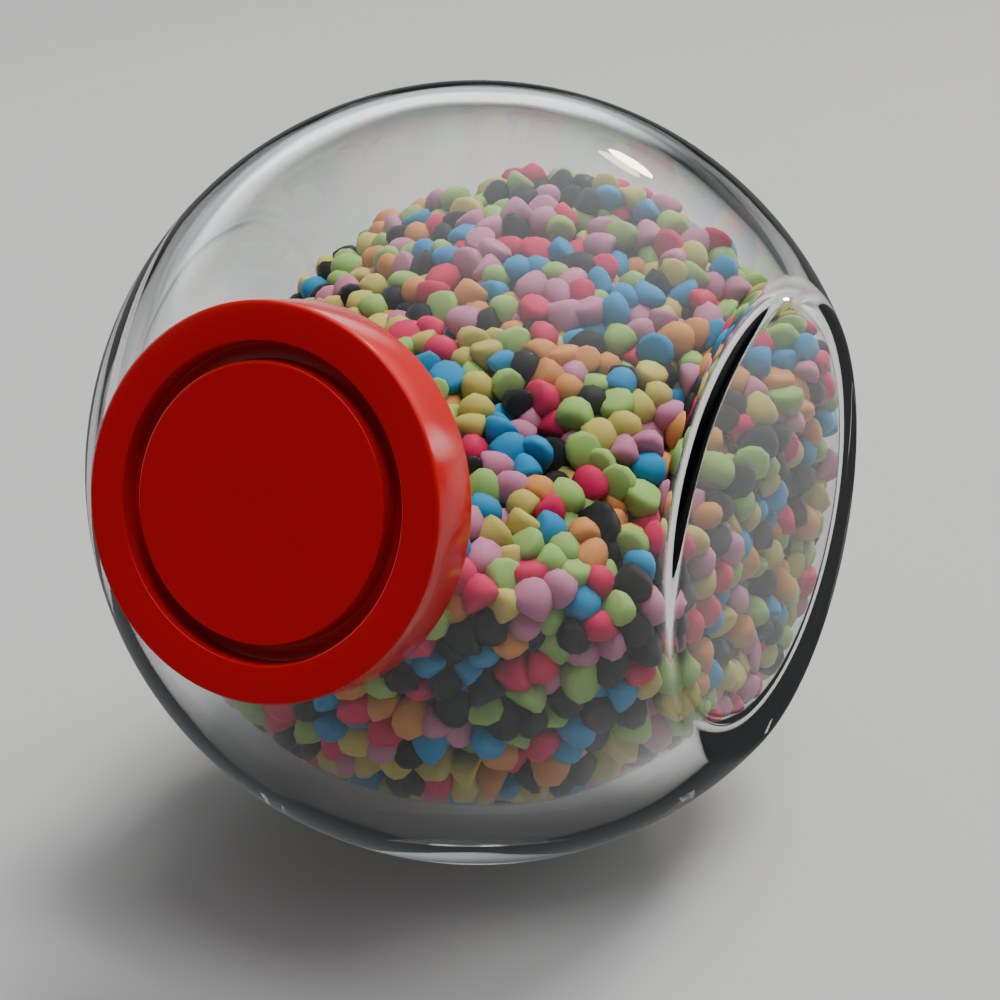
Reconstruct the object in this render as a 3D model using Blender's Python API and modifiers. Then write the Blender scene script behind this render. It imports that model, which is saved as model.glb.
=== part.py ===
"""A round-bellied glass jar of sweets with a red screw lid.

The jar is a thick glass ball with a flat on its left and right sides. It stands on
a small flat ground into its underside, and its wide mouth faces forward (-Y) and a
little up, closed by the lid. The sweets inside are one solid heap: it fills the
jar's hollow, and its top slopes down from the back towards the mouth.
"""

import math

import bmesh
import bpy
from mathutils import Vector
from mathutils.kdtree import KDTree

# Driving dimensions, in metres and degrees.
BALL_RADIUS = 0.0750          # outside of the glass ball
SIDE_FLAT_AT = 0.0614         # flat sides, from the ball's centre
SIDE_FLAT_ROUNDING = 0.0041   # where a flat side meets the ball
CAVITY_RADIUS = 0.0685        # the ball-shaped hollow
CAVITY_RISE = 0.0028          # hollow's centre over the ball's, so that the foot is heavy
SIDE_WALL = 0.0052            # glass of the flat sides
BASE_FLAT_RADIUS = 0.0248     # ground spot that the jar stands on
BASE_GLASS = 0.0200           # glass under the contents

MOUTH_TILT = 15.5             # mouth's axis above the horizontal
NECK_RADIUS = 0.0302
NECK_TOP = 0.0743             # rim, from the ball's centre
NECK_ROOT = 0.0620            # where the neck starts, inside the glass
MOUTH_RADIUS = 0.0260
BORE_ROOT = 0.0400            # where the mouth's bore starts, inside the hollow
RIM_ROUNDING = 0.0013

LID_RADIUS = 0.0340
LID_FRONT = 0.08105           # front face, from the ball's centre
LID_HEIGHT = 0.0122
LID_SEAT = 0.0746             # underside of the plate, just off the rim
LID_SKIRT_INSIDE = 0.0310
LID_EDGE_ROUNDING = 0.0012
GROOVE_OUTER_RADIUS = 0.0272
GROOVE_INNER_RADIUS = 0.0239
GROOVE_DEPTH = 0.0045
GROOVE_BEVEL = 0.0004

SWEET_SIZE = 0.0085           # spacing of the bumps on the heap's outside
SWEET_RISE = 0.0016           # how far a sweet stands out from its neighbours' joints
HEAP_CLEARANCE = 0.0007       # between the heap and the glass
HEAP_PEAK = 0.0495            # heap's top at the back, above the ball's centre
HEAP_PEAK_AT = 0.0450         # how far back the heap starts to slope down
HEAP_SLOPE = 0.35             # fall for each metre forward
HEAP_CROWN = 7.0              # fall with the square of the distance to either side

BALL_STEPS = 44               # facets round the ball
BALL_ARC_STEPS = 6            # facets from a side flat to the ball's widest ring
CAVITY_ARC_STEPS = 5
LID_STEPS = 48                # facets round the neck and the lid
ROUNDING_STEPS = 2            # facets across a rounded edge
HEAP_SUBDIVISIONS = 5
HALVINGS = 30                 # steps in the search for the heap's outside
CUT_SIZE = 0.2                # blocks that cut a flat
CENTRE_HEIGHT = math.sqrt(BALL_RADIUS ** 2 - BASE_FLAT_RADIUS ** 2)
CAVITY_CENTRE = Vector((0.0, 0.0, CAVITY_RISE))
CAVITY_FLAT_AT = SIDE_FLAT_AT - SIDE_WALL
CAVITY_FLOOR = BASE_GLASS - CENTRE_HEIGHT
MERGE = 0.00001


def clear_scene():
    for obj in list(bpy.data.objects):
        bpy.data.objects.remove(obj, do_unlink=True)


def collection(name):
    made = bpy.data.collections.new(name)
    bpy.context.scene.collection.children.link(made)
    return made


def material(name, colour, roughness, transmission=0.0):
    made = bpy.data.materials.new(name)
    made.use_nodes = True
    shader = made.node_tree.nodes["Principled BSDF"]
    shader.inputs["Base Color"].default_value = (*colour, 1.0)
    shader.inputs["Roughness"].default_value = roughness
    shader.inputs["Metallic"].default_value = 0.0
    shader.inputs["Transmission Weight"].default_value = transmission
    made.diffuse_color = (*colour, 1.0)
    return made


def arc(centre, radius, start, end, steps):
    """Points (radius from the axis, height) on an arc, its angles in degrees from the axis."""
    points = []
    for step in range(steps + 1):
        angle = math.radians(start + (end - start) * step / steps)
        points.append((centre[0] + radius * math.sin(angle), centre[1] + radius * math.cos(angle)))
    return points


def turned(name, profile, steps, into, parent):
    """A solid turned about its own Z axis, from a profile that runs down its outer side."""
    mesh = bpy.data.meshes.new(name)
    points = [(radius, 0.0, height) for radius, height in profile]
    edges = [(i, i + 1) for i in range(len(points) - 1)]
    mesh.from_pydata(points, edges, [])
    obj = bpy.data.objects.new(name, mesh)
    into.objects.link(obj)
    obj.parent = parent
    screw = obj.modifiers.new("turn", "SCREW")
    screw.axis = "Z"
    screw.steps = steps
    screw.render_steps = steps
    screw.use_merge_vertices = True
    screw.merge_threshold = MERGE
    screw.use_smooth_shade = True
    return obj


def cut_or_join(obj, other, operation):
    step = obj.modifiers.new(f"{operation.lower()} {other.name}", "BOOLEAN")
    step.operation = operation
    step.solver = "EXACT"
    step.object = other


def as_guide(obj):
    obj.hide_render = True
    obj.display_type = "WIRE"


def flatted_ball(radius, flat_at, arc_steps, rounding_steps):
    """Profile of a ball with two flats across its axis, the flats' rims rounded."""
    rounding_centre = flat_at - SIDE_FLAT_ROUNDING
    rim = math.sqrt((radius - SIDE_FLAT_ROUNDING) ** 2 - rounding_centre ** 2)
    tangent = math.degrees(math.atan2(rim, rounding_centre))
    half = [(0.0, flat_at)]
    half += arc((rim, rounding_centre), SIDE_FLAT_ROUNDING, 0.0, tangent, rounding_steps)
    half += arc((0.0, 0.0), radius, tangent, 90.0, arc_steps)[1:]
    mirrored = [(out, -height) for out, height in reversed(half[:-1])]
    return half + mirrored


def block_below(name, height, into):
    """A block whose top face is at the given height."""
    bpy.ops.mesh.primitive_cube_add(size=CUT_SIZE, location=(0.0, 0.0, height - CUT_SIZE / 2))
    block = bpy.context.object
    block.name = name
    for owner in list(block.users_collection):
        owner.objects.unlink(block)
    into.objects.link(block)
    as_guide(block)
    return block


def make_glass(parts, cutters, centre, mouth):
    """The jar: ball and neck joined, then hollowed, bored and cut flat underneath."""
    outline = flatted_ball(BALL_RADIUS, SIDE_FLAT_AT, BALL_ARC_STEPS, ROUNDING_STEPS)
    jar = turned("jar_glass", outline, BALL_STEPS, parts, centre)
    jar.rotation_euler = (0.0, math.radians(90.0), 0.0)

    rim = arc((NECK_RADIUS - RIM_ROUNDING, NECK_TOP - RIM_ROUNDING), RIM_ROUNDING,
              0.0, 90.0, ROUNDING_STEPS)
    neck_outline = [(0.0, NECK_TOP), *rim, (NECK_RADIUS, NECK_ROOT), (0.0, NECK_ROOT)]
    neck = turned("neck", neck_outline, LID_STEPS, cutters, mouth)
    as_guide(neck)

    hollow_outline = flatted_ball(CAVITY_RADIUS, CAVITY_FLAT_AT, CAVITY_ARC_STEPS, 1)
    hollow = turned("hollow", hollow_outline, BALL_STEPS, cutters, centre)
    hollow.location = CAVITY_CENTRE
    hollow.rotation_euler = (0.0, math.radians(90.0), 0.0)
    as_guide(hollow)

    flare = MOUTH_RADIUS + RIM_ROUNDING
    bore_outline = [(0.0, LID_FRONT), (flare, LID_FRONT), (flare, NECK_TOP),
                    (MOUTH_RADIUS, NECK_TOP - RIM_ROUNDING),
                    (MOUTH_RADIUS, BORE_ROOT), (0.0, BORE_ROOT)]
    bore = turned("mouth_bore", bore_outline, LID_STEPS, cutters, mouth)
    as_guide(bore)

    cut_or_join(hollow, block_below("under_contents", BASE_GLASS, cutters), "DIFFERENCE")
    cut_or_join(jar, neck, "UNION")
    cut_or_join(jar, block_below("under_jar", 0.0, cutters), "DIFFERENCE")
    cut_or_join(jar, hollow, "DIFFERENCE")
    cut_or_join(jar, bore, "DIFFERENCE")
    jar.data.materials.append(material("clear glass", (0.90, 0.93, 0.93), 0.02, 1.0))
    return jar


def make_lid(parts, mouth):
    """One moulded lid: a plate with a ring groove in its face, and a skirt over the neck."""
    edge = LID_EDGE_ROUNDING
    groove_floor = LID_FRONT - GROOVE_DEPTH
    back = LID_FRONT - LID_HEIGHT
    outline = [
        (0.0, LID_FRONT),
        (GROOVE_INNER_RADIUS - GROOVE_BEVEL, LID_FRONT),
        (GROOVE_INNER_RADIUS, LID_FRONT - GROOVE_BEVEL),
        (GROOVE_INNER_RADIUS, groove_floor),
        (GROOVE_OUTER_RADIUS, groove_floor),
        (GROOVE_OUTER_RADIUS, LID_FRONT - GROOVE_BEVEL),
        (GROOVE_OUTER_RADIUS + GROOVE_BEVEL, LID_FRONT),
        *arc((LID_RADIUS - edge, LID_FRONT - edge), edge, 0.0, 90.0, ROUNDING_STEPS),
        (LID_RADIUS, back),
        (LID_SKIRT_INSIDE, back),
        (LID_SKIRT_INSIDE, LID_SEAT),
        (0.0, LID_SEAT),
    ]
    lid = turned("lid", outline, LID_STEPS, parts, mouth)
    lid.data.materials.append(material("red plastic", (0.55, 0.012, 0.014), 0.25))
    return lid


def heap_top(x, y):
    """Height of the heap's top over the ball's centre: crowned side to side, down to the mouth."""
    forward = max(0.0, HEAP_PEAK_AT - y)
    return HEAP_PEAK - HEAP_CROWN * x * x - HEAP_SLOPE * forward


def in_heap(point):
    return ((point - CAVITY_CENTRE).length < CAVITY_RADIUS - HEAP_CLEARANCE
            and abs(point.x) < CAVITY_FLAT_AT - HEAP_CLEARANCE
            and point.z > CAVITY_FLOOR + HEAP_CLEARANCE
            and point.z < heap_top(point.x, point.y))


def reach(direction):
    """How far the smooth heap goes from the ball's centre in a direction, by halving."""
    near, far = 0.0, BALL_RADIUS
    for _ in range(HALVINGS):
        middle = (near + far) / 2
        if in_heap(direction * middle):
            near = middle
        else:
            far = middle
    return near


def sweet_places():
    """Even directions round a ball, one for each sweet on the heap's outside."""
    count = round(4 * math.pi * CAVITY_RADIUS ** 2 / (SWEET_SIZE ** 2 * math.sqrt(3) / 2))
    golden_turn = math.pi * (3 - math.sqrt(5))
    places = KDTree(count)
    for i in range(count):
        height = 1 - (2 * i + 1) / count
        out = math.sqrt(1 - height * height)
        places.insert(Vector((out * math.cos(i * golden_turn), out * math.sin(i * golden_turn),
                              height)), i)
    places.balance()
    return places


def make_heap(parts, centre):
    """The sweets as one solid, uneven outside where each sweet stands out a little."""
    places = sweet_places()
    mesh = bpy.data.meshes.new("sweets_heap")
    shape = bmesh.new()
    bmesh.ops.create_icosphere(shape, subdivisions=HEAP_SUBDIVISIONS, radius=1.0)
    for vertex in shape.verts:
        direction = vertex.co.normalized()
        smooth = reach(direction)
        gap = places.find(direction)[2] * CAVITY_RADIUS
        sunk = SWEET_RISE * min(1.0, (2 * gap / SWEET_SIZE) ** 2)
        vertex.co = direction * (smooth - sunk)
    shape.to_mesh(mesh)
    shape.free()
    mesh.shade_smooth()
    heap = bpy.data.objects.new("sweets_heap", mesh)
    parts.objects.link(heap)
    heap.parent = centre
    heap.data.materials.append(material("sugar sweets", (0.62, 0.42, 0.46), 0.45))
    return heap


def main():
    clear_scene()
    parts = collection("jar_of_sweets")
    cutters = collection("cutters")
    centre = bpy.data.objects.new("ball_centre", None)
    centre.location = (0.0, 0.0, CENTRE_HEIGHT)
    mouth = bpy.data.objects.new("mouth_axis", None)
    mouth.parent = centre
    mouth.rotation_euler = (math.radians(90.0 - MOUTH_TILT), 0.0, 0.0)
    parts.objects.link(centre)
    parts.objects.link(mouth)
    make_glass(parts, cutters, centre, mouth)
    make_lid(parts, mouth)
    make_heap(parts, centre)


main()
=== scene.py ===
import math

import bpy
import numpy as np
from mathutils import Euler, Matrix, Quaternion, Vector


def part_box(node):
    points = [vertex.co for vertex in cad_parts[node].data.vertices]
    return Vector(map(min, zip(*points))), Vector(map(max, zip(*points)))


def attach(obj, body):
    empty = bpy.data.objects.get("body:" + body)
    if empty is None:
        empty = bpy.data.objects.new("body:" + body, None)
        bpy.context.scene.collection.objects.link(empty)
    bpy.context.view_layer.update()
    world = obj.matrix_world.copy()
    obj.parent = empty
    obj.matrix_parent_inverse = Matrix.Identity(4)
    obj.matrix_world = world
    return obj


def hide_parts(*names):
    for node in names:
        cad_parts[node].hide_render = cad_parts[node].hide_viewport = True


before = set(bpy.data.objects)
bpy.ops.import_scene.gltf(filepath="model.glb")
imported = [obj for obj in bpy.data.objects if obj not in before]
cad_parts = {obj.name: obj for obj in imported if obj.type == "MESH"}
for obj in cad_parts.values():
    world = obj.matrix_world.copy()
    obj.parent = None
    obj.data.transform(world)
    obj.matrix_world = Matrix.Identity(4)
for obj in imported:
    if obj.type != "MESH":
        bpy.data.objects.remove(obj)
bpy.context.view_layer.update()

bpy.ops.object.select_all(action="DESELECT")

# Lengths are in metres, angles in degrees. The jar stands at the origin, its mouth towards -Y.
jar_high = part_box("jar_glass")[1]
lid_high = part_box("lid")[1]

BALL_RADIUS = jar_high.y
CENTRE = Vector((0.0, 0.0, jar_high.z - BALL_RADIUS))
SIDE_FLAT_AT = jar_high.x
SIDE_FLAT_ROUNDING = 0.0041
CAVITY_ROUNDING = 0.0092
CAVITY_RADIUS = 0.0685
CAVITY_RISE = 0.0028
SIDE_WALL = 0.0052
CAVITY_FLAT_AT = SIDE_FLAT_AT - SIDE_WALL
BASE_GLASS = 0.0200
CAVITY_FLOOR = BASE_GLASS - CENTRE.z

MOUTH_TILT = 15.5
NECK_RADIUS = 0.0302
NECK_TOP = 0.0743
NECK_ROOT = 0.0620
MOUTH_RADIUS = 0.0260
BORE_ROOT = 0.0400
SHOULDER_ROUNDING = 0.0045    # where the mouth opens into the hollow
RIM_ROUNDING = 0.0013

LID_RADIUS = lid_high.x
LID_FRONT = 0.0808
LID_HEIGHT = 0.0122
LID_SEAT = 0.0746
LID_SKIRT_INSIDE = 0.0310
LID_EDGE_ROUNDING = 0.0007
GROOVE_OUTER_RADIUS = 0.0272
GROOVE_INNER_RADIUS = 0.0239
GROOVE_DEPTH = 0.0045
GROOVE_ROUNDING = 0.0004

HEAP_PEAK = 0.0495            # above the ball's middle
HEAP_PEAK_AT = 0.0450         # how far back the heap starts to fall towards the mouth
HEAP_SLOPE = 0.35
HEAP_CROWN = 6.0              # how fast its top falls away to the sides
HEAP_LOOSE = 0.0004           # how far the topmost sweets stand out of the heap

SWEET_PITCH = 0.0046          # from one sweet's middle to the next
SWEET_RADIUS = 0.0033
SHELL_DEPTH = 0.0080          # how deep the loose sweets go under the outermost ones
GLASS_GAP = 0.00015           # between a sweet and the glass
SWEETS_TRIED = 60000
SWEETS_PER_CUBE = 1.32        # sweets in a cube one pitch across, before they are pushed apart
SETTLING_TURNS = 90
PUSH = 0.38                   # share of an overlap that one turn takes away
TIGHTNESS = 0.93              # how close a sweet's middle may come to the glass, for its size
CORE_COVER = 0.75             # share of the loose sweets' depth that lies over the core
CORE_LUMPS = 900
CORE_LUMP_DEPTH = 0.0012
SWEETS_SEED = 20
CORE_SEED = 7

# Each sweet's colour, and its share of the heap.
COLOURS = {
    "pink": ((0.44, 0.15, 0.24), 0.14),
    "raspberry": ((0.50, 0.001, 0.062), 0.12),
    "blue": ((0.005, 0.19, 0.38), 0.13),
    "green": ((0.23, 0.37, 0.09), 0.19),
    "cream": ((0.43, 0.35, 0.08), 0.15),
    "orange": ((0.52, 0.20, 0.05), 0.11),
    "black": ((0.003, 0.003, 0.004), 0.17),
}

# Brightness of the studio's soft lights and lamps.
ROOM_LEVEL = 0.05
TOP_LEVEL = 1.5
WINDOW_LEVEL = 2.4
LEFT_LEVEL = 1.3
FILL_LEVEL = 0.4
GROUND_LEVEL = 0.12
KEY_POWER = 13.0
OVERHEAD_POWER = 27.0
BACK_LAMP_POWER = 2.4
SIDE_LAMP_POWER = 1.8

CAMERA_TURN = 27.66
CAMERA_RISE = 21.98
CAMERA_FROM_CENTRE = (0.05702, -0.06966, 7.0985)    # along its own axes, in ball radii


# --- shader maths --------------------------------------------------------------------

class Value:
    """A shader socket that Python arithmetic can be done on: each step adds a Math node."""

    def __init__(self, nodes, socket):
        self.nodes = nodes
        self.socket = socket

    def maths(self, operation, other):
        return self.nodes.node("ShaderNodeMath", {"operation": operation}, {0: self, 1: other})

    def __add__(self, other):
        return self.maths("ADD", other)

    def __mul__(self, other):
        return self.maths("MULTIPLY", other)

    __radd__ = __add__
    __rmul__ = __mul__


class Nodes:
    """A node tree that is built node by node."""

    def __init__(self, tree):
        self.tree = tree

    def node(self, kind, settings=None, sockets=None, out=0):
        made = self.tree.nodes.new(kind)
        for name, value in (settings or {}).items():
            setattr(made, name, value)
        for name, value in (sockets or {}).items():
            self.feed(made.inputs[name], value)
        return Value(self, made.outputs[out])

    def feed(self, socket, value):
        if isinstance(value, Value):
            self.tree.links.new(value.socket, socket)
        else:
            socket.default_value = value

    def fade(self, value, start, end):
        """Goes smoothly from 0 to 1 as the value goes from start to end."""
        return self.node("ShaderNodeMapRange", {"interpolation_type": "SMOOTHSTEP"}, {
            "Value": value, "From Min": start, "From Max": end})

    def blend(self, share, first, second):
        """Two colours mixed; share is how much of the second."""
        return self.node("ShaderNodeMix", {"data_type": "RGBA"},
                         {0: share, 6: first, 7: second}, out=2)


class Finish(Nodes):
    """One material round its main shader."""

    def __init__(self, name):
        self.material = bpy.data.materials.new(name)
        self.material.use_nodes = True
        super().__init__(self.material.node_tree)
        self.shader = self.tree.nodes["Principled BSDF"]
        self.output = self.tree.nodes["Material Output"]

    def set(self, **values):
        """Sets the shader's sockets: base_color=... is the socket Base Color."""
        for name, value in values.items():
            label = name.replace("_", " ").title().replace("Ior", "IOR")
            self.feed(self.shader.inputs[label], value)

    def place(self, stretch=(1.0, 1.0, 1.0)):
        """Object coordinates, stretched."""
        where = self.node("ShaderNodeTexCoord", out=3)
        return self.node("ShaderNodeMapping", {}, {"Vector": where, "Scale": stretch})

    def noise(self, size, detail=2.0, roughness=0.5, stretch=(1.0, 1.0, 1.0)):
        """Cloudy noise from 0 to 1, its lumps about size across."""
        return self.node("ShaderNodeTexNoise", {"noise_dimensions": "3D"}, {
            "Vector": self.place(stretch), "Scale": 1.0 / size, "Detail": detail,
            "Roughness": roughness})

    def bump(self, height, depth, strength=1.0):
        return self.node("ShaderNodeBump", {}, {
            "Height": height, "Distance": depth, "Strength": strength})


def colour(red, green, blue):
    return (red, green, blue, 1.0)


# --- modelling helpers ---------------------------------------------------------------

def select_only(obj):
    if bpy.context.mode != "OBJECT":
        bpy.ops.object.mode_set(mode="OBJECT")
    bpy.ops.object.select_all(action="DESELECT")
    obj.select_set(True)
    bpy.context.view_layer.objects.active = obj


def arc(middle, radius, start, end, steps):
    """Points (out, along) on an arc, its angles in degrees from the axis."""
    points = []
    for step in range(steps + 1):
        angle = math.radians(start + (end - start) * step / steps)
        points.append((middle[0] + radius * math.sin(angle),
                       middle[1] + radius * math.cos(angle)))
    return points


def turned(name, profile, steps):
    """A solid turned about Z: a single corner is drawn along the profile and spun round."""
    bpy.ops.mesh.primitive_plane_add(size=0.001)
    obj = bpy.context.object
    obj.name = name
    obj.data.name = name
    bpy.ops.object.mode_set(mode="EDIT")
    bpy.ops.mesh.select_mode(type="VERT")
    bpy.ops.mesh.select_all(action="SELECT")
    bpy.ops.mesh.merge(type="CENTER")
    bpy.ops.transform.translate(value=(profile[0][0], 0.0, profile[0][1]))
    for here, there in zip(profile, profile[1:]):
        step = (there[0] - here[0], 0.0, there[1] - here[1])
        bpy.ops.mesh.extrude_vertices_move(TRANSFORM_OT_translate={"value": step})
    bpy.ops.mesh.select_all(action="SELECT")
    bpy.ops.mesh.spin(steps=steps, angle=2 * math.pi, center=(0, 0, 0), axis=(0, 0, 1))
    bpy.ops.mesh.select_all(action="SELECT")
    bpy.ops.mesh.remove_doubles(threshold=1e-6)
    bpy.ops.mesh.normals_make_consistent(inside=False)
    bpy.ops.object.mode_set(mode="OBJECT")
    return obj


def settle_in_place(obj, place, turn):
    """Moves and turns an object, then puts that into its mesh."""
    select_only(obj)
    obj.location = place
    obj.rotation_euler = turn
    bpy.ops.object.transform_apply(location=True, rotation=True, scale=True)


def cut_off(obj, point, outwards):
    """Cuts away what lies beyond a plane, and closes the cut."""
    select_only(obj)
    bpy.ops.object.mode_set(mode="EDIT")
    bpy.ops.mesh.select_all(action="SELECT")
    bpy.ops.mesh.bisect(plane_co=point, plane_no=outwards, use_fill=True, clear_outer=True,
                        threshold=1e-6)
    bpy.ops.object.mode_set(mode="OBJECT")


def combine(obj, other, operation):
    """Joins or cuts with another solid, which is used up."""
    step = obj.modifiers.new(operation.lower(), "BOOLEAN")
    step.operation = operation
    step.solver = "EXACT"
    step.object = other
    select_only(obj)
    bpy.ops.object.modifier_apply(modifier=step.name)
    bpy.data.objects.remove(other, do_unlink=True)


def smooth(obj, angle):
    select_only(obj)
    bpy.ops.object.shade_smooth_by_angle(angle=math.radians(angle))


def own_finish(obj, finish):
    obj.data.materials.clear()
    obj.data.materials.append(finish.material)


def belongs(obj, slot, *nodes):
    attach(obj, "root")
    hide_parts(*nodes)


TO_SIDE = Euler((0.0, math.radians(90.0), 0.0))
TO_MOUTH = Euler((math.radians(90.0 - MOUTH_TILT), 0.0, 0.0))


# --- glass ---------------------------------------------------------------------------

def flatted_ball(radius, flat_at, rounding, arc_steps, rounding_steps):
    """Profile of a ball with two flats across its axis, the flats' rims rounded."""
    rounding_middle = flat_at - rounding
    rim = math.sqrt((radius - rounding) ** 2 - rounding_middle ** 2)
    tangent = math.degrees(math.atan2(rim, rounding_middle))
    half = [(0.0, flat_at), (rim * 0.5, flat_at), (rim * 0.97, flat_at)]
    half += arc((rim, rounding_middle), rounding, 0.0, tangent, rounding_steps)
    half += arc((0.0, 0.0), radius, tangent, 90.0, arc_steps)[1:]
    return half + [(out, -along) for out, along in reversed(half[:-1])]


def glass_finish():
    finish = Finish("clear moulded glass")
    ripple = finish.noise(0.030, detail=1.0)
    finish.set(
        base_color=colour(0.965, 0.985, 0.98),
        roughness=0.0,
        normal=finish.bump(ripple, 0.0006, 0.35),
        ior=1.5,
        specular_ior_level=0.18,
        transmission_weight=1.0,
    )
    # Lamp light and light bounced off the sweets go straight through.
    rays = finish.tree.nodes.new("ShaderNodeLightPath")
    lamp_ray = Value(finish, rays.outputs["Is Shadow Ray"])
    bounce_ray = Value(finish, rays.outputs["Is Diffuse Ray"])
    clear = finish.node("ShaderNodeBsdfTransparent", {}, {"Color": colour(0.96, 0.97, 0.968)})
    mixed = finish.node("ShaderNodeMixShader", {}, {
        0: lamp_ray.maths("MAXIMUM", bounce_ray), 1: Value(finish, finish.shader.outputs[0]),
        2: clear})
    finish.feed(finish.output.inputs["Surface"], mixed)
    return finish


def make_jar():
    ball = turned("jar_clear", flatted_ball(
        BALL_RADIUS, SIDE_FLAT_AT, SIDE_FLAT_ROUNDING, 30, 7), 176)
    settle_in_place(ball, CENTRE, TO_SIDE)
    rim = arc((NECK_RADIUS - RIM_ROUNDING, NECK_TOP - RIM_ROUNDING), RIM_ROUNDING, 0.0, 90.0, 5)
    neck = turned("neck", [(0.0, NECK_TOP), *rim, (NECK_RADIUS, NECK_ROOT), (0.0, NECK_ROOT)], 96)
    settle_in_place(neck, CENTRE, TO_MOUTH)
    combine(ball, neck, "UNION")
    cut_off(ball, (0.0, 0.0, 0.0), (0.0, 0.0, -1.0))

    hollow = turned("hollow", flatted_ball(
        CAVITY_RADIUS, CAVITY_FLAT_AT, CAVITY_ROUNDING, 24, 10), 144)
    settle_in_place(hollow, CENTRE + Vector((0.0, 0.0, CAVITY_RISE)), TO_SIDE)
    cut_off(hollow, (0.0, 0.0, BASE_GLASS), (0.0, 0.0, -1.0))
    middle = (MOUTH_RADIUS + SHOULDER_ROUNDING, math.sqrt(
        (CAVITY_RADIUS + SHOULDER_ROUNDING) ** 2 - (MOUTH_RADIUS + SHOULDER_ROUNDING) ** 2))
    meets = 180.0 + math.degrees(math.atan2(*middle))
    shoulder = arc(middle, SHOULDER_ROUNDING, 270.0, meets, 8)
    bore = turned("bore", [(0.0, LID_FRONT), (MOUTH_RADIUS + RIM_ROUNDING, LID_FRONT),
                           (MOUTH_RADIUS + RIM_ROUNDING, NECK_TOP),
                           (MOUTH_RADIUS, NECK_TOP - RIM_ROUNDING), *shoulder,
                           (MOUTH_RADIUS, BORE_ROOT), (0.0, BORE_ROOT)], 120)
    settle_in_place(bore, CENTRE, TO_MOUTH)
    combine(ball, hollow, "DIFFERENCE")
    combine(ball, bore, "DIFFERENCE")
    smooth(ball, 32)
    own_finish(ball, glass_finish())
    belongs(ball, "glass", "jar_glass")


# --- lid -----------------------------------------------------------------------------

def lid_finish():
    finish = Finish("red moulded plastic")
    tone = finish.noise(0.020, detail=3.0)
    grain = finish.noise(0.0009, detail=1.0)
    scuff = finish.noise(0.012, detail=3.0, roughness=0.6, stretch=(1.0, 1.0, 3.0))
    finish.set(
        base_color=finish.blend(tone, colour(0.46, 0.001, 0.0015), colour(0.50, 0.0015, 0.002)),
        roughness=0.12 + 0.06 * scuff,
        normal=finish.bump(grain, 0.00001, 0.4),
        specular_ior_level=0.30,
        coat_weight=0.15,
        coat_roughness=0.04,
    )
    return finish


def make_lid():
    edge = LID_EDGE_ROUNDING
    soft = GROOVE_ROUNDING
    groove_floor = LID_FRONT - GROOVE_DEPTH
    back = LID_FRONT - LID_HEIGHT
    inner_edge = arc((GROOVE_INNER_RADIUS - soft, LID_FRONT - soft), soft, 0.0, 90.0, 4)
    inner_root = arc((GROOVE_INNER_RADIUS + soft, groove_floor + soft), soft, 270.0, 180.0, 4)
    outer_root = arc((GROOVE_OUTER_RADIUS - soft, groove_floor + soft), soft, 180.0, 90.0, 4)
    outer_edge = arc((GROOVE_OUTER_RADIUS + soft, LID_FRONT - soft), soft, 270.0, 360.0, 4)
    front_edge = arc((LID_RADIUS - edge, LID_FRONT - edge), edge, 0.0, 90.0, 8)
    back_edge = arc((LID_RADIUS - soft, back + soft), soft, 90.0, 180.0, 4)
    profile = [(0.0, LID_FRONT), (GROOVE_INNER_RADIUS * 0.97, LID_FRONT), *inner_edge,
               *inner_root, *outer_root, *outer_edge, *front_edge, *back_edge,
               (LID_SKIRT_INSIDE, back), (LID_SKIRT_INSIDE, LID_SEAT), (0.0, LID_SEAT)]
    lid = turned("lid_moulding", profile, 180)
    settle_in_place(lid, CENTRE, TO_MOUTH)
    smooth(lid, 40)
    own_finish(lid, lid_finish())
    belongs(lid, "lid_plastic", "lid")


# --- sweets --------------------------------------------------------------------------

def heap_limits(places):
    """For points round the ball's centre: depth inside each limit, and each limit's inward normal.

    The limits are the hollow's ball, its side flats, their rounded rims, its floor and the
    heap's top.
    """
    x, y, z = places.T
    from_hollow = places - np.array([0.0, 0.0, CAVITY_RISE])
    reach = np.linalg.norm(from_hollow, axis=1)

    rim_at = CAVITY_FLAT_AT - CAVITY_ROUNDING
    rim_radius = math.sqrt((CAVITY_RADIUS - CAVITY_ROUNDING) ** 2 - rim_at ** 2)
    out = np.hypot(from_hollow[:, 1], from_hollow[:, 2]) + 1e-9
    from_rim = from_hollow * np.where([[True, False, False]], 1.0, 1 - rim_radius / out[:, None])
    from_rim[:, 0] = np.sign(x) * (np.abs(x) - rim_at)
    past_rim = np.linalg.norm(from_rim, axis=1) + 1e-9
    by_rim = (out > rim_radius) & (np.abs(x) * rim_radius > out * rim_at)

    forward = np.maximum(0.0, HEAP_PEAK_AT - y)
    top = HEAP_PEAK - HEAP_CROWN * x * x - HEAP_SLOPE * forward
    top_normal = np.stack([-2 * HEAP_CROWN * x, -HEAP_SLOPE * (forward > 0), -np.ones_like(x)], 1)
    steepness = np.linalg.norm(top_normal, axis=1)
    side = np.zeros_like(places)
    side[:, 0] = -np.sign(x)
    depths = np.stack([
        CAVITY_RADIUS - reach,
        CAVITY_FLAT_AT - np.abs(x),
        np.where(by_rim, CAVITY_ROUNDING - past_rim, CAVITY_RADIUS),
        z - CAVITY_FLOOR,
        (top + HEAP_LOOSE - z) / steepness,
    ])
    normals = np.stack([
        -from_hollow / reach[:, None],
        side,
        -from_rim / past_rim[:, None],
        np.tile([0.0, 0.0, 1.0], (len(places), 1)),
        top_normal / steepness[:, None],
    ])
    return depths, normals


def close_pairs(places, within):
    squares = (places ** 2).sum(1)
    apart = squares[:, None] + squares[None] - 2 * places @ places.T
    first, second = np.nonzero(np.triu(apart < within ** 2, 1))
    return first, second


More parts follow.
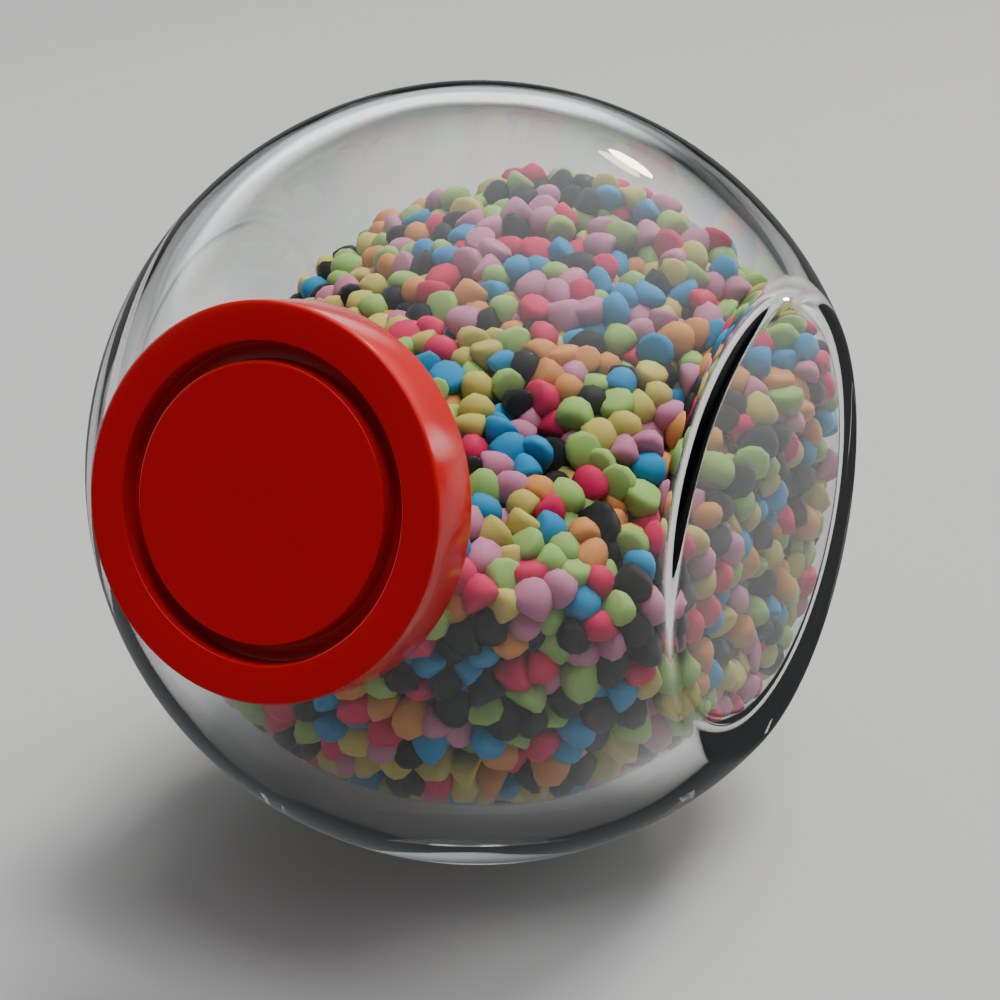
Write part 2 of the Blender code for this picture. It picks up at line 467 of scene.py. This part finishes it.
def packed_sweets(rng):
    """Middles and pitches of the sweets, pushed apart until they lie evenly in the heap's skin.

    A sweet's pitch is its size for this: from its middle to that of a neighbour of its own size.
    """
    tries = rng.uniform(-CAVITY_RADIUS, CAVITY_RADIUS, (SWEETS_TRIED, 3))
    depths = heap_limits(tries)[0].min(0)
    inside = (depths > SWEET_RADIUS) & (depths < SWEET_RADIUS + SHELL_DEPTH)
    skin_volume = inside.mean() * (2 * CAVITY_RADIUS) ** 3
    count = int(skin_volume * SWEETS_PER_CUBE / SWEET_PITCH ** 3)
    places = tries[inside][:count]
    pitch = SWEET_PITCH * rng.uniform(0.88, 1.14, len(places))
    near = SWEET_RADIUS / SWEET_PITCH * pitch * TIGHTNESS
    for turn in range(SETTLING_TURNS):
        if turn % 3 == 0:
            first, second = close_pairs(places, SWEET_PITCH * 1.5)
        across = places[first] - places[second]
        apart = np.linalg.norm(across, axis=1) + 1e-9
        wanted = (pitch[first] + pitch[second]) / 2
        push = np.maximum(0.0, wanted - apart) / apart * PUSH
        shift = across * push[:, None]
        for axis in range(3):
            places[:, axis] += np.bincount(first, shift[:, axis], len(places))
            places[:, axis] -= np.bincount(second, shift[:, axis], len(places))
        for _ in range(2):
            depths, normals = heap_limits(places)
            for depth, normal in zip(depths, normals):
                places += np.maximum(0.0, near + GLASS_GAP - depth)[:, None] * normal
            depths, normals = heap_limits(places)
            nearest = depths.argmin(0)
            index = np.arange(len(places))
            too_deep = np.maximum(0.0, depths[nearest, index] - SWEET_RADIUS - SHELL_DEPTH)
            places -= too_deep[:, None] * normals[nearest, index]
    return places, pitch


def sweet_blank():
    """The drop that every sweet starts from: a dome on a flat foot, one unit in radius."""
    outline = [(0.0, 0.0), (0.72, 0.02), (0.97, 0.18), (1.01, 0.50), (0.96, 0.95),
               (0.78, 1.37), (0.44, 1.66), (0.0, 1.77)]
    blank = turned("blank", outline, 10)
    corners = np.array([v.co[:] for v in blank.data.vertices])
    faces = [tuple(p.vertices) for p in blank.data.polygons]
    bpy.data.objects.remove(blank, do_unlink=True)
    return corners, faces


def random_turn(rng):
    """A turn with no favoured direction, as a matrix."""
    return np.array(Quaternion(rng.normal(size=4)).normalized().to_matrix())


def shaped_sweet(rng, blank):
    """One sweet: the drop drawn taller or flatter, tapered, leant, pinched or a little squared."""
    x, y, z = blank.T
    share = z / z.max()
    around = np.arctan2(y, x)
    sided = 1.0 + rng.uniform(0.0, 0.075) * np.cos(rng.integers(2, 5) * around + rng.uniform(0, 6))
    taper = 1.0 - rng.uniform(-0.05, 0.18) * share
    pinch = 1.0 - rng.choice([0.0, 0.0, 0.15, 0.35]) * share
    lean = rng.uniform(-0.18, 0.18)
    wide, deep, tall = rng.uniform([0.96, 0.86, 0.86], [1.10, 1.06, 1.06])
    return np.stack([x * sided * taper * pinch * wide + lean * z,
                     y * sided * taper * deep,
                     (z - 0.74) * tall], 1)


def make_sweets():
    rng = np.random.default_rng(SWEETS_SEED)
    blank, faces = sweet_blank()
    places, pitch = packed_sweets(rng)
    shares = np.array([share for _, share in COLOURS.values()])
    kinds = rng.choice(len(COLOURS), len(places), p=shares / shares.sum())
    shapes = {kind: [] for kind in range(len(COLOURS))}
    tones = {kind: [] for kind in range(len(COLOURS))}
    for place, spacing, kind in zip(places, pitch, kinds):
        size = SWEET_RADIUS * spacing / SWEET_PITCH
        shape = shaped_sweet(rng, blank) * size @ random_turn(rng).T
        shapes[kind].append(place + shape)
        tones[kind].append(np.full(len(blank), rng.uniform()))
    for kind, (name, (tint, _)) in enumerate(COLOURS.items()):
        join_sweets(f"sweets_{name}", shapes[kind], faces, tones[kind], tint)


def join_sweets(name, shapes, faces, tones, tint):
    """Makes all the sweets of one colour one mesh, none of them through the glass."""
    points = np.concatenate(shapes)
    for _ in range(2):
        depths, normals = heap_limits(points)
        for depth, normal in zip(depths[:4], normals[:4]):
            points += np.maximum(0.0, GLASS_GAP - depth)[:, None] * normal
    size = len(shapes[0])
    all_faces = [tuple(corner + start for corner in face)
                 for start in range(0, len(points), size) for face in faces]
    mesh = bpy.data.meshes.new(name)
    mesh.from_pydata(points + np.array(CENTRE), [], all_faces)
    mesh.attributes.new("tone", "FLOAT", "POINT").data.foreach_set(
        "value", np.concatenate(tones).astype(np.float32))
    mesh.shade_smooth()
    mesh.update()
    obj = bpy.data.objects.new(name, mesh)
    bpy.context.scene.collection.objects.link(obj)
    own_finish(obj, sweet_finish(name, tint))
    belongs(obj, "sweets", "sweets_heap")


def sweet_finish(name, tint):
    finish = Finish(name + " sugar shell")
    tone = finish.node("ShaderNodeAttribute", {"attribute_name": "tone"}, out=2)
    cloud = finish.noise(0.0030, detail=3.0)
    dimple = finish.noise(0.0011, detail=1.0)
    pale = tuple(min(1.0, c * 1.07 + 0.004) for c in tint)
    deep = tuple(c * 0.91 for c in tint)
    shell = finish.blend(tone, colour(*deep), colour(*pale))
    finish.set(
        base_color=finish.blend(0.02 * cloud, shell, colour(0.85, 0.83, 0.80)),
        roughness=0.42 + 0.16 * cloud,
        normal=finish.bump(dimple, 0.00002, 0.5),
        specular_ior_level=0.22,
    )
    return finish


def core_painted_shade_finish():
    finish = Finish("sweets deeper in with painted shade")
    cells = finish.node("ShaderNodeTexVoronoi", {}, {
        "Vector": finish.place(), "Scale": 1.0 / SWEET_PITCH}, out=1)
    # Painted shade: nine parts near-black to one part random cell colour, standing in for the
    # shade in the gaps between the loose sweets.
    painted_shade_cells = finish.blend(0.9, cells, colour(0.02, 0.015, 0.015))
    finish.set(base_color=painted_shade_cells, roughness=0.6)
    return finish


def make_core():
    """The heap's inside: one lumpy body under the loose sweets, painted nearly black as their
    shade.
    """
    bpy.ops.mesh.primitive_ico_sphere_add(subdivisions=6, radius=1.0)
    core = bpy.context.object
    core.name = "sweets_core"
    core.data.name = core.name
    directions = np.array([v.co[:] for v in core.data.vertices])
    directions /= np.linalg.norm(directions, axis=1)[:, None]
    near = np.zeros(len(directions))
    far = np.full(len(directions), BALL_RADIUS)
    skin = SWEET_RADIUS + SHELL_DEPTH * CORE_COVER
    for _ in range(26):    # each turn halves the stretch that the core's surface may lie in
        middle = (near + far) / 2
        inside = heap_limits(directions * middle[:, None] + 1e-9)[0].min(0) > skin
        near = np.where(inside, middle, near)
        far = np.where(inside, far, middle)
    rng = np.random.default_rng(CORE_SEED)
    lumps = rng.normal(size=(CORE_LUMPS, 3))
    lumps /= np.linalg.norm(lumps, axis=1)[:, None]
    nearest = (directions @ lumps.T).max(1)
    gap = np.arccos(np.clip(nearest, -1, 1)) * near
    reach = near - np.minimum(CORE_LUMP_DEPTH, 60.0 * gap ** 2)
    core.data.vertices.foreach_set(
        "co", (directions * reach[:, None] + np.array(CENTRE)).astype(np.float32).ravel())
    core.data.update()
    core.data.shade_smooth()
    own_finish(core, core_painted_shade_finish())
    belongs(core, "sweets", "sweets_heap")


# --- studio --------------------------------------------------------------------------

def make_floor():
    bpy.ops.mesh.primitive_plane_add(size=16.0)
    floor = bpy.context.object
    floor.name = "floor"
    finish = Finish("pale floor")
    finish.set(base_color=colour(0.36, 0.36, 0.355), roughness=0.8)
    own_finish(floor, finish)
    floor.visible_glossy = False    # mirror reflections show a dim ground instead


def towards(turn, rise=0.0):
    """Unit vector at a turn from -Y and a rise."""
    turn, rise = math.radians(turn), math.radians(rise)
    return (math.sin(turn) * math.cos(rise), -math.cos(turn) * math.cos(rise), math.sin(rise))


def soft_light(name, turn, rise, distance, size, power, tint=(1.0, 1.0, 1.0)):
    """An area light seen from the jar at a turn from -Y and a rise, facing the jar."""
    lamp = bpy.data.lights.new(name, "AREA")
    lamp.shape = "ELLIPSE"
    lamp.size, lamp.size_y = size
    lamp.energy = power
    lamp.color = tint
    obj = bpy.data.objects.new(name, lamp)
    bpy.context.scene.collection.objects.link(obj)
    away = Vector(towards(turn, rise))
    obj.location = CENTRE + away * distance
    obj.rotation_euler = away.to_track_quat("Z", "Y").to_euler()
    return obj


def make_light():
    world = bpy.data.worlds.new("studio")
    bpy.context.scene.world = world
    world.use_nodes = True
    room = Nodes(world.node_tree)
    sky = room.node("ShaderNodeTexCoord", out=0)

    def facing(direction):
        return room.node("ShaderNodeVectorMath", {"operation": "DOT_PRODUCT"},
                         {0: sky, 1: direction}, out=1)

    rise = facing((0.0, 0.0, 1.0))
    top = room.fade(facing(towards(140.0, 70.0)), math.cos(math.radians(60)),
                    math.cos(math.radians(12)))
    window = room.fade(facing(towards(-134.0)), math.cos(math.radians(42)),
                       math.cos(math.radians(25)))
    window = window * room.fade(rise, 0.08, 0.18) * room.fade(rise, 0.40, 0.26)
    left = room.fade(facing(towards(-78.0, 10.0)), math.cos(math.radians(26)),
                     math.cos(math.radians(8)))
    fill = room.fade(facing(towards(-46.0, 24.0)), math.cos(math.radians(24)),
                     math.cos(math.radians(8)))
    ground = room.fade(rise, 0.02, -0.10)
    glow = (ROOM_LEVEL + TOP_LEVEL * top + WINDOW_LEVEL * window + LEFT_LEVEL * left
            + FILL_LEVEL * fill + GROUND_LEVEL * ground)
    background = world.node_tree.nodes["Background"]
    room.feed(background.inputs["Color"], colour(0.95, 0.98, 1.0))
    room.feed(background.inputs["Strength"], glow)
    key = soft_light("key", 40.0, 74.0, 1.9, (0.7, 0.7), KEY_POWER)
    overhead = soft_light("overhead", 165.0, 68.0, 1.5, (0.6, 0.6), OVERHEAD_POWER)
    for lamp in (key, overhead):    # they light the jar without showing in the glass
        lamp.visible_glossy = False
        lamp.visible_transmission = False
    soft_light("back_lamp", 177.0, 38.0, 1.2, (0.19, 0.085), BACK_LAMP_POWER,
               (1.0, 0.82, 0.60))
    side = soft_light("side_lamp", 153.0, 6.0, 1.0, (0.03, 0.14), SIDE_LAMP_POWER)
    side.visible_transmission = False


def make_camera():
    lens = bpy.data.cameras.new("camera")
    camera = bpy.data.objects.new("camera", lens)
    bpy.context.scene.collection.objects.link(camera)
    lens.sensor_width = 36.0
    lens.lens = 99.3
    camera.rotation_euler = (math.radians(90.0 - CAMERA_RISE), 0.0, math.radians(CAMERA_TURN))
    axes = camera.rotation_euler.to_matrix()
    camera.location = CENTRE + axes @ Vector(CAMERA_FROM_CENTRE) * BALL_RADIUS
    lens.clip_start = 0.01
    bpy.context.scene.camera = camera


make_camera()
make_light()
make_floor()
make_jar()
make_lid()
make_core()
make_sweets()
